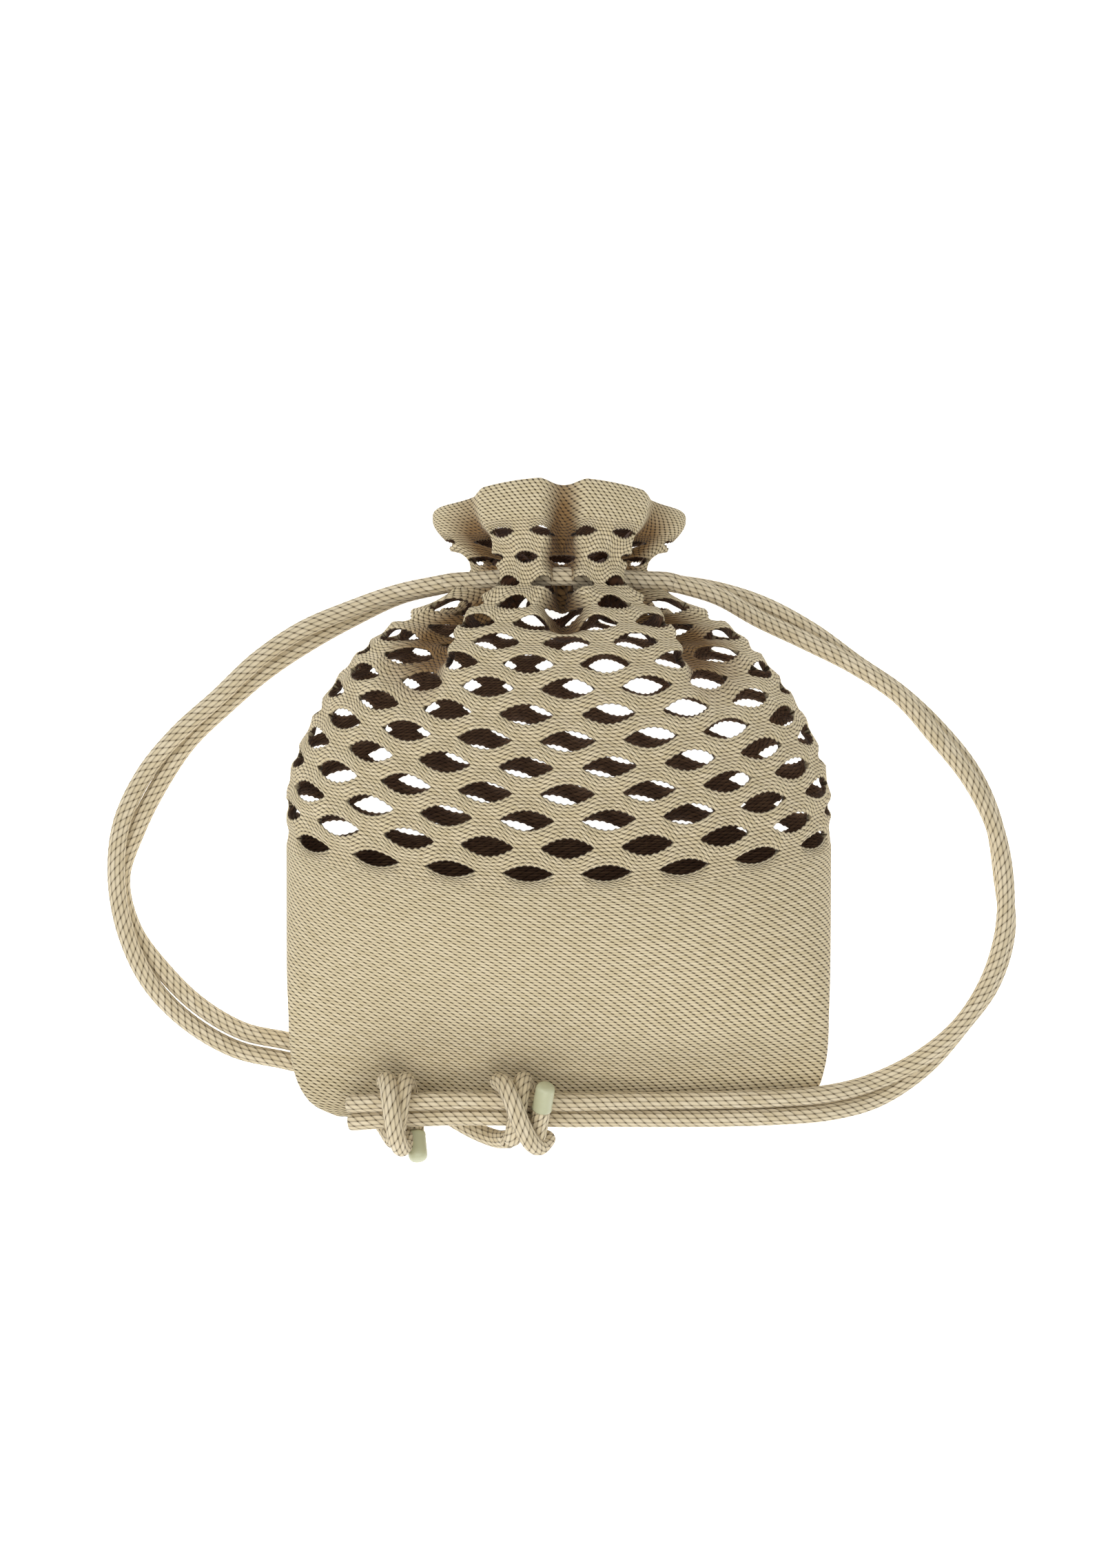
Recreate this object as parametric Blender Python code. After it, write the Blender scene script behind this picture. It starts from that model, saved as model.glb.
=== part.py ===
"""A knitted drawstring shoulder bag, lying on its back with its cords laid around it.

X runs across the bag, +Y runs from its closed bottom to its mouth and +Z is up from the surface.
The origin is on the surface, under the middle of the bag.
"""

import math
from collections import namedtuple

import bmesh
import bpy
import numpy as np
from mathutils import Vector

# Driving dimensions, in metres
BAG_WIDTH = 0.200
BAG_LENGTH = 0.236
BAG_DEPTH = 0.084
KNIT_WALL = 0.0024
CORD_DIAMETER = 0.0067
GAP_LENGTH = 0.020
GAP_HEIGHT = 0.0072
AGLET_DIAMETER = 0.0075
AGLET_LENGTH = 0.0110
CLEARANCE = 0.0003

# The knit: columns round the bag and rows of gaps up it. SAMPLES is the number of points to a
# column, and PATTERN_SHIFT is how far the gaps lie off the middle of the front, in columns. The
# columns are closer together on the front and wider apart on the back by FRONT_CROWDING.
COLUMNS = 16
GAP_ROWS = 6
SAMPLES = 6
ROW_PITCH = 0.0398 * BAG_LENGTH
PATTERN_SHIFT = 0.11
FRONT_CROWDING = 0.25
GIRTH = 2.425 * BAG_WIDTH
GAP_ROUNDNESS = 1.5

# A section's under side is drawn this much too deep and then cut flat
UNDER_SIDE_EXCESS = 1.06
HALF_SECTION_POINTS = 181
NORMAL_REACH = 0.12

# Sections of the bag from its bottom edge to its rim. The row is counted in rows of gaps from the
# lowest one. half_width is a share of half BAG_WIDTH, front and side are the places along Y in the
# middle of the front and at the sides and back, as shares of BAG_LENGTH, and top, widest and under
# are heights above the surface as shares of BAG_DEPTH. square is how square the under side is.
Section = namedtuple("Section", "row half_width front side top widest under square")
SECTIONS = (
    Section(-13.6, 0.740, -0.5000, -0.4920, 0.148, 0.120, 0.098, 2.5),
    Section(-13.1, 0.850, -0.4930, -0.4780, 0.160, 0.125, 0.093, 3.0),
    Section(-12.3, 0.930, -0.4740, -0.4530, 0.166, 0.135, 0.092, 3.5),
    Section(-11.2, 0.975, -0.4380, -0.4140, 0.182, 0.165, 0.092, 4.0),
    Section(-10.0, 0.993, -0.4020, -0.3750, 0.285, 0.220, 0.086, 4.0),
    Section(-8.60, 0.998, -0.3600, -0.3290, 0.440, 0.290, 0.036, 4.0),
    Section(-7.00, 1.000, -0.3090, -0.2720, 0.610, 0.330, 0.000, 4.0),
    Section(-4.80, 1.000, -0.2430, -0.1950, 0.800, 0.350, 0.000, 4.0),
    Section(-2.30, 1.000, -0.1710, -0.1110, 0.945, 0.357, 0.000, 4.0),
    Section(0.00, 1.000, -0.1030, -0.0373, 1.000, 0.357, 0.000, 4.0),
    Section(2.00, 0.995, -0.0229, 0.0403, 0.998, 0.357, 0.000, 4.0),
    Section(4.00, 0.930, 0.0568, 0.1186, 0.980, 0.350, 0.000, 4.0),
    Section(6.00, 0.835, 0.1369, 0.1886, 0.940, 0.345, 0.000, 3.7),
    Section(8.00, 0.720, 0.2150, 0.2480, 0.870, 0.335, 0.000, 3.4),
    Section(10.0, 0.580, 0.2800, 0.2960, 0.760, 0.325, 0.008, 3.0),
    Section(11.0, 0.475, 0.3100, 0.3200, 0.690, 0.320, 0.016, 2.7),
    Section(11.7, 0.375, 0.3330, 0.3390, 0.635, 0.318, 0.022, 2.5),
    Section(12.4, 0.330, 0.3570, 0.3600, 0.605, 0.316, 0.024, 2.4),
    Section(13.2, 0.360, 0.3900, 0.3850, 0.605, 0.314, 0.018, 2.4),
    Section(14.2, 0.425, 0.4300, 0.4100, 0.625, 0.314, 0.008, 2.4),
    Section(15.2, 0.465, 0.4650, 0.4320, 0.645, 0.318, 0.002, 2.4),
    Section(16.2, 0.470, 0.5022, 0.4500, 0.650, 0.320, 0.000, 2.4),
)

# The gathers. Each valley lies at a column counted from the middle of the front. It starts at a row
# on the bag, is deepest at the neck and opens toward the rim. Depths are shares of BAG_DEPTH.
Valley = namedtuple("Valley", "column start neck_depth rim_depth")
VALLEYS = (
    Valley(0, 8.4, 0.205, 0.105),
    Valley(2.2, 5.6, 0.215, 0.125),
    Valley(-2.2, 5.6, 0.215, 0.125),
    Valley(4.25, 8.0, 0.110, 0.055),
    Valley(-4.25, 8.0, 0.110, 0.055),
    Valley(6.18, 8.6, 0.165, 0.095),
    Valley(-6.18, 8.6, 0.165, 0.095),
    Valley(8, 8.6, 0.165, 0.095),
)
NECK_ROW = 12.4
RIM_ROW = 16.2
VALLEY_SHARPNESS = 1.35
RIM_DIP = 0.5

# Rows at which the faceted solid has a line of points, outside the rows of gaps. The closed bottom
# half of the bag takes every second point.
LOWER_LINES = (-13.6, -13.1, -12.3, -11.2, -10.0, -8.5, -6.2, -2.8)
UPPER_LINES = (6.6, 8.4, 10.0, 11.2, 12.2, 13.4, 14.8, 16.2)
INNER_BOTTOM_ROW = -12.3

# Cord routes, in metres and degrees. x, y and z are the middle of a pair of strands, or of one
# strand, and twist is how far the pair has turned: at 0 and 180 they lie side by side, at 90 one
# lies on the other. A height of None lays the pair on the surface.
RIGHT_PAIR = (
    (0.0413, 0.0822, 0.0220, 90),
    (0.0510, 0.0806, 0.0185, 95),
    (0.0610, 0.0780, 0.0130, 112),
    (0.0730, 0.0732, None, 138),
    (0.0872, 0.0665, None, 138),
    (0.1030, 0.0572, None, 112),
    (0.1188, 0.0471, None, 95),
    (0.1332, 0.0363, None, 105),
    (0.1447, 0.0226, None, 115),
    (0.1548, 0.0097, None, 110),
    (0.1613, -0.0033, None, 100),
    (0.1648, -0.0177, None, 92),
    (0.1666, -0.0321, None, 90),
    (0.1669, -0.0465, None, 105),
    (0.1630, -0.0623, None, 110),
    (0.1548, -0.0767, None, 96),
    (0.1433, -0.0897, None, 108),
    (0.1289, -0.1015, None, 138),
    (0.1145, -0.1080, 0.0080, 158),
    (0.0972, -0.1110, 0.0160, 160),
    (0.0771, -0.1122, 0.0180, 160),
    (0.0512, -0.1128, 0.0182, 160),
    (0.0260, -0.1128, 0.0195, 155),
    (0.0100, -0.1126, 0.0240, 150),
    (-0.0070, -0.1123, 0.0274, 148),
    (-0.0220, -0.1118, 0.0268, 148),
    (-0.0380, -0.1118, 0.0265, 148),
    (-0.0530, -0.1122, 0.0274, 148),
    (-0.0660, -0.1130, 0.0246, 152),
    (-0.0775, -0.1140, 0.0205, 158),
)
LEFT_PAIR = (
    (-0.0413, 0.0818, 0.0220, 90),
    (-0.0510, 0.0803, 0.0185, 90),
    (-0.0620, 0.0774, 0.0130, 97),
    (-0.0799, 0.0702, None, 115),
    (-0.0953, 0.0626, None, 132),
    (-0.1107, 0.0522, None, 130),
    (-0.1248, 0.0395, None, 120),
    (-0.1390, 0.0265, None, 125),
    (-0.1500, 0.0129, None, 148),
    (-0.1574, -0.0012, None, 155),
    (-0.1629, -0.0153, None, 122),
    (-0.1643, -0.0281, None, 97),
    (-0.1624, -0.0410, None, 97),
    (-0.1568, -0.0545, None, 122),
    (-0.1478, -0.0675, None, 155),
    (-0.1363, -0.0786, None, 180),
    (-0.1222, -0.0871, None, 180),
    (-0.1107, -0.0909, None, 180),
    (-0.1001, -0.0926, None, 180),
)
LEFT_END_1 = (
    (-0.0900, -0.0992, 0.0037),
    (-0.0800, -0.1060, 0.0037),
    (-0.0710, -0.1135, 0.0037),
    (-0.0650, -0.1202, 0.0048),
    (-0.0622, -0.1240, 0.0105),
    (-0.0613, -0.1243, 0.0160),
    (-0.0610, -0.1238, 0.0207),
)
LEFT_END_2 = (
    (-0.0900, -0.0920, 0.0037),
    (-0.0780, -0.0968, 0.0037),
    (-0.0660, -0.1030, 0.0037),
    (-0.0540, -0.1095, 0.0037),
    (-0.0430, -0.1155, 0.0037),
    (-0.0340, -0.1205, 0.0045),
    (-0.0268, -0.1238, 0.0085),
    (-0.0214, -0.1242, 0.0150),
    (-0.0184, -0.1236, 0.0214),
)
FRONT_DRAWSTRING = (
    (-0.0400, 0.0820, 0.0262),
    (-0.0330, 0.0824, 0.0284),
    (-0.0260, 0.0828, 0.0318),
    (-0.0190, 0.0830, 0.0360),
    (-0.0110, 0.0832, 0.0394),
    (0.0000, 0.0834, 0.0408),
    (0.0110, 0.0832, 0.0394),
    (0.0190, 0.0830, 0.0360),
    (0.0260, 0.0828, 0.0318),
    (0.0330, 0.0826, 0.0284),
    (0.0400, 0.0824, 0.0262),
)
BACK_DRAWSTRING = (
    (-0.0400, 0.0820, 0.0188),
    (-0.0330, 0.0824, 0.0198),
    (-0.0260, 0.0828, 0.0178),
    (-0.0190, 0.0830, 0.0136),
    (-0.0110, 0.0832, 0.0112),
    (0.0000, 0.0834, 0.0106),
    (0.0110, 0.0832, 0.0112),
    (0.0190, 0.0830, 0.0136),
    (0.0260, 0.0828, 0.0178),
    (0.0330, 0.0826, 0.0198),
    (0.0400, 0.0824, 0.0188),
)
CORD_POINT_SPACING = 3.0 * CORD_DIAMETER
CLOSE_POINT_SPACING = 1.6 * CORD_DIAMETER
CURVE_POINTS = 40
CORD_ROUNDNESS = 2

# Knots: a strand wound round the right pair. x runs along the pair from start to end, and the angle
# runs round it, in degrees from the bag's side over the top. It ends in the aglet.
Knot = namedtuple("Knot", "start_x end_x start_angle end_angle")
KNOTS = (
    Knot(-0.0175, -0.0062, 200, -275),
    Knot(-0.0608, -0.0530, 200, -145),
)

KNOT_STEP = 30

# The knots sit on the stretch of the right pair that lies nearer the bottom edge than this
KNOT_RUN_Y = -0.104

# An aglet's rounding is a share of its diameter
AGLET_SIDES = 10
AGLET_ROUNDING = 0.16
SHARP_ANGLE = 50

KNIT_COLOUR = (0.72, 0.62, 0.42, 1.0)
CORD_COLOUR = (0.74, 0.64, 0.45, 1.0)
AGLET_COLOUR = (0.54, 0.54, 0.34, 1.0)


def smooth_curve(keys, values, at):
    """Values at the places asked for, on a smooth curve through the keyed ones."""
    keys = np.asarray(keys, float)
    values = np.asarray(values, float)
    slopes = np.gradient(values, keys)
    at = np.clip(at, keys[0], keys[-1])
    i = np.clip(np.searchsorted(keys, at) - 1, 0, len(keys) - 2)
    step = keys[i + 1] - keys[i]
    t = (at - keys[i]) / step
    return ((2 * t**3 - 3 * t**2 + 1) * values[i] + (t**3 - 2 * t**2 + t) * step * slopes[i]
            + (3 * t**2 - 2 * t**3) * values[i + 1] + (t**3 - t**2) * step * slopes[i + 1])


def section_value(name, row):
    """One measure of the sections, read at any row."""
    return smooth_curve([s.row for s in SECTIONS], [getattr(s, name) for s in SECTIONS], row)


def smooth_step(t):
    """0 to 1 with level ends."""
    t = np.clip(t, 0.0, 1.0)
    return t * t * (3 - 2 * t)


def valley_depth(column, row):
    """How far the gathers draw the knit inward at a place on it."""
    depth = 0.0
    for valley in VALLEYS:
        away = (column - valley.column + COLUMNS / 2) % COLUMNS - COLUMNS / 2
        shape = np.where(np.abs(away) < 1, (0.5 + 0.5 * np.cos(math.pi * away)), 0.0)
        shape = shape ** VALLEY_SHARPNESS
        closing = smooth_step((row - valley.start) / (NECK_ROW - valley.start))
        opening = smooth_step((row - NECK_ROW) / (RIM_ROW - NECK_ROW))
        size = closing * (valley.neck_depth + opening * (valley.rim_depth - valley.neck_depth))
        depth = depth + shape * size * BAG_DEPTH
    return depth


def section_loop(row, columns):
    """x, z and inward direction on one section, spaced evenly along the knit."""
    half = section_value("half_width", row) * BAG_WIDTH / 2
    top = section_value("top", row) * BAG_DEPTH
    widest = section_value("widest", row) * BAG_DEPTH
    under = max(section_value("under", row), 0.0) * BAG_DEPTH
    square = section_value("square", row)
    turn = np.linspace(-math.pi / 2, math.pi / 2, HALF_SECTION_POINTS)
    front_x = half * np.sin(turn)
    front_z = widest + (top - widest) * np.cos(turn)
    drop = (widest - under) * UNDER_SIDE_EXCESS
    back_x = half * np.sign(np.sin(turn)) * np.abs(np.sin(turn)) ** (2 / square)
    back_z = np.maximum(widest - drop * np.abs(np.cos(turn)) ** (2 / square), under)
    x = np.concatenate([front_x, -back_x[1:]])
    z = np.concatenate([front_z, back_z[1:]])
    length = np.concatenate([[0], np.cumsum(np.hypot(np.diff(x), np.diff(z)))])
    middle = length[HALF_SECTION_POINTS - 1]
    place = (np.asarray(columns) + COLUMNS / 4) % COLUMNS
    half_columns = COLUMNS / 2
    along = np.where(place < half_columns, place / half_columns * middle,
                     middle + (place - half_columns) / half_columns * (length[-1] - middle))
    step = length[-1] / (2 * HALF_SECTION_POINTS)
    ahead = (along + step) % length[-1]
    behind = (along - step) % length[-1]
    dx = np.interp(ahead, length, x) - np.interp(behind, length, x)
    dz = np.interp(ahead, length, z) - np.interp(behind, length, z)
    size = np.hypot(dx, dz)
    return np.interp(along, length, x), np.interp(along, length, z), dz / size, -dx / size


def knit_points(rows, columns):
    """Points on the outer face of the knit, for arrays of rows and columns of one shape."""
    points = np.zeros(rows.shape + (3,))
    for index in range(rows.shape[0]):
        row = rows[index]
        column = columns[index]
        for value in np.unique(row):
            pick = row == value
            place = column[pick] + PATTERN_SHIFT
            place = place - FRONT_CROWDING * np.sin(2 * math.pi * place / COLUMNS)
            x, z, in_x, in_z = section_loop(value, place)
            depth = valley_depth(column[pick], value)
            front = section_value("front", value) * BAG_LENGTH
            side = section_value("side", value) * BAG_LENGTH
            facing = np.cos(2 * math.pi * place / COLUMNS)
            opening = smooth_step((value - NECK_ROW) / (RIM_ROW - NECK_ROW))
            y = side + (front - side) * np.maximum(facing, 0) - RIM_DIP * opening * depth
            points[index, pick] = np.stack([x + depth * in_x, y, z + depth * in_z], axis=-1)
    return points


def knit_normals(rows, columns):
    """Outward directions of the knit at the same places."""
    reach = NORMAL_REACH
    along = knit_points(rows + reach, columns) - knit_points(rows - reach, columns)
    across = knit_points(rows, columns + reach) - knit_points(rows, columns - reach)
    normal = np.cross(across, along)
    return normal / np.linalg.norm(normal, axis=-1, keepdims=True)


def knit_lines():
    """The lines of points: a row, whether it holds gaps, and the step between its points."""
    lines = [(row, False, 2) for row in LOWER_LINES]
    lines += [(float(row), True, 1) for row in range(GAP_ROWS)]
    lines += [(row, False, 1) for row in UPPER_LINES]
    return lines


def line_rows(line, side):
    """The row of each point of a line. side is -1 under the gaps and 1 over them."""
    row, has_gaps, _ = line
    count = COLUMNS * SAMPLES
    rows = np.full(count, row)
    if has_gaps:
        centre = SAMPLES / 2 if int(row) % 2 == 0 else 0
        away = (np.arange(count) - centre + SAMPLES / 2) % SAMPLES - SAMPLES / 2
        share = np.abs(away) / SAMPLES * GIRTH / COLUMNS / (GAP_LENGTH / 2)
        opening = np.clip(1 - share ** GAP_ROUNDNESS, 0, 1)
        rows = rows + side * opening * GAP_HEIGHT / 2 / ROW_PITCH
    return rows


def make_knit_bag(collection, material):
    """The bag: outer and inner faces joined at the rim and round each gap, one solid."""
    count = COLUMNS * SAMPLES
    columns = np.arange(count) / SAMPLES - COLUMNS / 2
    mesh = bmesh.new()
    lines = knit_lines()
    faces = {"outer": [], "inner": []}
    for line in lines:
        for layer in ("outer", "inner"):
            if layer == "inner" and line[0] < INNER_BOTTOM_ROW:
                continue
            edges = []
            shared = None
            for side in (-1, 1):
                rows = line_rows(line, side)
                if shared is None or line[1]:
                    points = knit_points(rows[None], columns[None])[0]
                    if layer == "inner":
                        points = points - KNIT_WALL * knit_normals(rows[None], columns[None])[0]
                if shared is None:
                    edge = [mesh.verts.new(p) if i % line[2] == 0 else None
                            for i, p in enumerate(points)]
                    shared = rows
                elif line[1]:
                    edge = [old if abs(a - b) < 1e-9 else mesh.verts.new(p)
                            for old, a, b, p in zip(edges[0], shared, rows, points)]
                else:
                    edge = edges[0]
                edges.append(edge)
            faces[layer].append((line, edges))

    for layer, rings in faces.items():
        for (low_line, low), (high_line, high) in zip(rings, rings[1:]):
            step = low_line[2]
            for i in range(0, count, step):
                j = (i + step) % count
                corners = [low[1][i], low[1][j], high[0][j]]
                if high_line[2] < step:
                    corners.append(high[0][(i + 1) % count])
                corners.append(high[0][i])
                mesh.faces.new(corners)
        (bottom, bottom_edges) = rings[0]
        quarter = count // 4
        step = bottom[2]
        ring = bottom_edges[0]
        for j in range(0, count // 2, step):
            corners = []
            for k in (quarter + j, quarter + j + step, quarter - j - step, quarter - j):
                vert = ring[k % count]
                if vert not in corners:
                    corners.append(vert)
            mesh.faces.new(corners)

    rim_out = faces["outer"][-1][1][1]
    rim_in = faces["inner"][-1][1][1]
    for i in range(count):
        j = (i + 1) % count
        mesh.faces.new([rim_out[i], rim_out[j], rim_in[j], rim_in[i]])
    inner = {line: edges for line, edges in faces["inner"]}
    for line, edges in faces["outer"]:
        if not line[1]:
            continue
        for i in range(count):
            j = (i + 1) % count
            if edges[0][i] is edges[1][i] and edges[0][j] is edges[1][j]:
                continue
            for side in (0, 1):
                corners = [edges[side][i], edges[side][j], inner[line][side][j],
                           inner[line][side][i]]
                mesh.faces.new(corners)
    bmesh.ops.recalc_face_normals(mesh, faces=mesh.faces)
    bmesh.ops.triangulate(mesh, faces=mesh.faces, quad_method="SHORT_EDGE")
    data = bpy.data.meshes.new("knit_bag")
    mesh.to_mesh(data)
    mesh.free()
    bag = bpy.data.objects.new("knit_bag", data)
    collection.objects.link(bag)
    data.materials.append(material)
    data.shade_smooth()
    data.set_sharp_from_angle(angle=math.radians(SHARP_ANGLE))
    return bag


def resample(points, spacing):
    """Evenly spaced points on a smooth curve through the given ones, with their twist if any."""
    points = np.asarray(points, float)
    steps = np.linalg.norm(np.diff(points[:, :3], axis=0), axis=1)
    chords = np.concatenate([[0], np.cumsum(steps)])
    fine = np.linspace(0, chords[-1], CURVE_POINTS * len(points))
    curve = np.stack([smooth_curve(chords, column, fine) for column in points.T], axis=1)
    steps = np.linalg.norm(np.diff(curve[:, :3], axis=0), axis=1)
    length = np.concatenate([[0], np.cumsum(steps)])
    count = max(2, int(round(length[-1] / spacing)) + 1)
    at = np.linspace(0, length[-1], count)
    return np.stack([np.interp(at, length, column) for column in curve.T], axis=1)


def pair_strands(route):
    """The routes of the two strands of a pair, point beside point."""
    half = (CORD_DIAMETER + 2 * CLEARANCE) / 2
    keyed = []
    for x, y, z, twist in route:
        low = CORD_DIAMETER / 2 + CLEARANCE + half * abs(math.sin(math.radians(twist)))
        keyed.append((x, y, low if z is None else z, twist))
    middle = resample(keyed, CORD_POINT_SPACING)
    ways = np.gradient(middle[:, :2], axis=0)
    ways = ways / np.linalg.norm(ways, axis=1, keepdims=True)
    strands = ([], [])
    for (x, y, z, twist), way in zip(middle, ways):
        rise = half * math.sin(math.radians(twist))
        shift = half * math.cos(math.radians(twist))
        height = max(z, CORD_DIAMETER / 2 + CLEARANCE + abs(rise))
        for sign, strand in zip((1, -1), strands):
            strand.append((x - sign * shift * way[1], y + sign * shift * way[0],
                           height + sign * rise))
    return strands


def make_tube(name, points, diameter, collection, material):
    """A round cord through the points."""
    curve = bpy.data.curves.new(name, "CURVE")
    curve.dimensions = "3D"
    curve.bevel_depth = diameter / 2
    curve.bevel_resolution = CORD_ROUNDNESS
    curve.use_fill_caps = True
    spline = curve.splines.new("POLY")
    spline.points.add(len(points) - 1)
    for point, place in zip(spline.points, points):
        point.co = (place[0], place[1], place[2], 1.0)
    tube = bpy.data.objects.new(name, curve)
    collection.objects.link(tube)
    curve.materials.append(material)
    return tube


def knot_path(knot, strands):
    """The middle line of a strand wound round the two strands of the right pair."""
    runs = [np.array(strand)[::-1] for strand in strands]
    runs = [run[run[:, 1] < KNOT_RUN_Y] for run in runs]
    count = int(abs(knot.end_angle - knot.start_angle) / KNOT_STEP) + 1
    points = []
    for share in np.linspace(0, 1, count):
        x = knot.start_x + share * (knot.end_x - knot.start_x)
        first, second = [np.array([np.interp(x, run[:, 0], run[:, k]) for k in (1, 2)])
                         for run in runs]
        angle = math.radians(knot.start_angle + share * (knot.end_angle - knot.start_angle))
        way = np.array([math.cos(angle), math.sin(angle)])
        reach = CORD_DIAMETER + 3 * CLEARANCE + abs(np.dot(first - second, way)) / 2
        y, z = (first + second) / 2 + reach * way
        points.append((x, y, z))
    return points


def make_aglet(name, path, collection, material):
    """A plain tip with a rounded end, in line with the end of a knotted strand."""
    mesh = bmesh.new()
    bmesh.ops.create_cone(mesh, cap_ends=True, segments=AGLET_SIDES, radius1=AGLET_DIAMETER / 2,
                          radius2=AGLET_DIAMETER / 2, depth=AGLET_LENGTH)
    tip = [e for e in mesh.edges if all(v.co.z > 0 for v in e.verts)]
    bmesh.ops.bevel(mesh, geom=tip, offset=AGLET_DIAMETER * AGLET_ROUNDING, segments=2,
                    profile=0.5, affect="EDGES")
    data = bpy.data.meshes.new(name)
    mesh.to_mesh(data)
    mesh.free()
    data.materials.append(material)
    data.shade_smooth()
    data.set_sharp_from_angle(angle=math.radians(SHARP_ANGLE))
    aglet = bpy.data.objects.new(name, data)
    collection.objects.link(aglet)
    way = (Vector(path[-1]) - Vector(path[-2])).normalized()
    aglet.rotation_euler = way.to_track_quat("Z", "Y").to_euler()
    aglet.location = Vector(path[-1]) + way * (AGLET_LENGTH / 2 + CLEARANCE)
    return aglet


def make_material(name, colour, roughness):
    """A plain material of the piece's colour."""
    material = bpy.data.materials.new(name)
    material.use_nodes = True
    shader = material.node_tree.nodes["Principled BSDF"]
    shader.inputs["Base Color"].default_value = colour
    shader.inputs["Roughness"].default_value = roughness
    shader.inputs["Metallic"].default_value = 0.0
    return material


def cut_drawstring_way(bag, routes, cutters):
    """Opens the gathered knit where the drawstrings pass through it."""
    for index, route in enumerate(routes):
        route = [2 * route[0] - route[1], *route, 2 * route[-1] - route[-2]]
        way = make_tube("drawstring_way_%d" % (index + 1), route,
                        CORD_DIAMETER + 4 * CLEARANCE, cutters, bag.data.materials[0])
        bpy.context.view_layer.update()
        data = bpy.data.meshes.new_from_object(
            way.evaluated_get(bpy.context.evaluated_depsgraph_get()))
        cutter = bpy.data.objects.new(way.name + "_cutter", data)
        cutters.objects.link(cutter)
        bpy.data.objects.remove(way)
        mesh = bmesh.new()
        mesh.from_mesh(data)
        bmesh.ops.remove_doubles(mesh, verts=mesh.verts, dist=0.00001)
        mesh.to_mesh(data)
        mesh.free()
        cutter.hide_render = True
        cutter.display_type = "WIRE"
        cut = bag.modifiers.new(cutter.name, "BOOLEAN")
        cut.operation = "DIFFERENCE"
        cut.solver = "EXACT"
        cut.object = cutter


def main():
    for old in list(bpy.data.objects):
        bpy.data.objects.remove(old)
    parts = bpy.data.collections.new("shoulder_bag")
    cutters = bpy.data.collections.new("cutters")
    bpy.context.scene.collection.children.link(parts)
    bpy.context.scene.collection.children.link(cutters)
    knit = make_material("cotton_knit", KNIT_COLOUR, 0.85)
    cord = make_material("knitted_cord", CORD_COLOUR, 0.8)
    plastic = make_material("sage_plastic", AGLET_COLOUR, 0.35)

    bag = make_knit_bag(parts, knit)
    right = pair_strands(RIGHT_PAIR)
    left = pair_strands(LEFT_PAIR)
    drawstrings = [resample(route, CLOSE_POINT_SPACING)
                   for route in (FRONT_DRAWSTRING, BACK_DRAWSTRING)]
    cut_drawstring_way(bag, drawstrings, cutters)
    paths = {"front_drawstring": drawstrings[0], "back_drawstring": drawstrings[1],
             "right_strand_1": right[0], "right_strand_2": right[1]}
    for index, end in enumerate((LEFT_END_1, LEFT_END_2)):
        close = resample([left[index][-1]] + list(end), CLOSE_POINT_SPACING)
        paths["left_strand_%d" % (index + 1)] = list(left[index]) + list(close[1:])
    for name, path in paths.items():
        make_tube(name, path, CORD_DIAMETER, parts, cord)

    for index, knot in enumerate(KNOTS):
        path = knot_path(knot, right)
        make_tube("knot_%d" % (index + 1), path, CORD_DIAMETER, parts, cord)
        make_aglet("aglet_%d" % (index + 1), path, parts, plastic)


main()
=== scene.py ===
"""Looks of a knitted drawstring shoulder bag that lies on its back, with its cords laid beside it."""
import math
from collections import namedtuple

import bpy
import numpy as np
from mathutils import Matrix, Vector


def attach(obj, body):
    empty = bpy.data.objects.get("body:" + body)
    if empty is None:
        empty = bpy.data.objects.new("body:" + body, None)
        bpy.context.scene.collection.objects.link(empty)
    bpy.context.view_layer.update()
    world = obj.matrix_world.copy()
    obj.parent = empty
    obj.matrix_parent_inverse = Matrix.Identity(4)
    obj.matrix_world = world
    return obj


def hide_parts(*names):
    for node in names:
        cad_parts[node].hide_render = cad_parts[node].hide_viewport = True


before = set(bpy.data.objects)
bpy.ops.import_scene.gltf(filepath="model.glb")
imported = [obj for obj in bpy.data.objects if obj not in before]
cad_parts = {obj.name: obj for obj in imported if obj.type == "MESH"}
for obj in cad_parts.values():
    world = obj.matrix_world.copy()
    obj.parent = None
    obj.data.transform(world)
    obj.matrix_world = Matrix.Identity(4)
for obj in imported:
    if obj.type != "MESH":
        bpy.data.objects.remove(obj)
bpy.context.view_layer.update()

# Sizes, in metres
BAG_WIDTH = 0.200
BAG_LENGTH = 0.236
BAG_DEPTH = 0.084
KNIT_WALL = 0.0024
CORD_DIAMETER = 0.0067
AGLET_DIAMETER = 0.0075
AGLET_LENGTH = 0.0110
CLEARANCE = 0.0003

# The knit: columns of gaps round the bag, rows of gaps up it and how far the columns are shifted
COLUMNS = 16
GAP_ROWS = 15
PATTERN_SHIFT = 0.11
# How much closer than even the columns are on the front, by row. Below 0 they are spread wider
FRONT_CROWDING = ((0.0, 0.25), (3.0, 0.05), (6.0, -0.30), (8.5, -0.52), (11.0, -0.50), (16.2, -0.30))

# Stitches to a column in the net and in the plain knit: about 2.5 and 3.8 mm wide
NET_STITCHES = 12
PLAIN_STITCHES = 8
# Stitches up the web between two gap rows, and to a row's height in the plain knit: about 1.3 mm
STITCHES_PER_WEB = 5
STITCHES_PER_ROW = 7
# How far each row of stitches is shifted against the one below, in stitches
NET_LEAN = 0.72
PLAIN_LEAN = 0.475
# Rows where the net starts and ends, and stitch rows where the body ends and the net starts
NET_START = -0.72
NET_END = 14.55
BODY_END_STITCH = -7
NET_START_STITCH = -4.5

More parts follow.
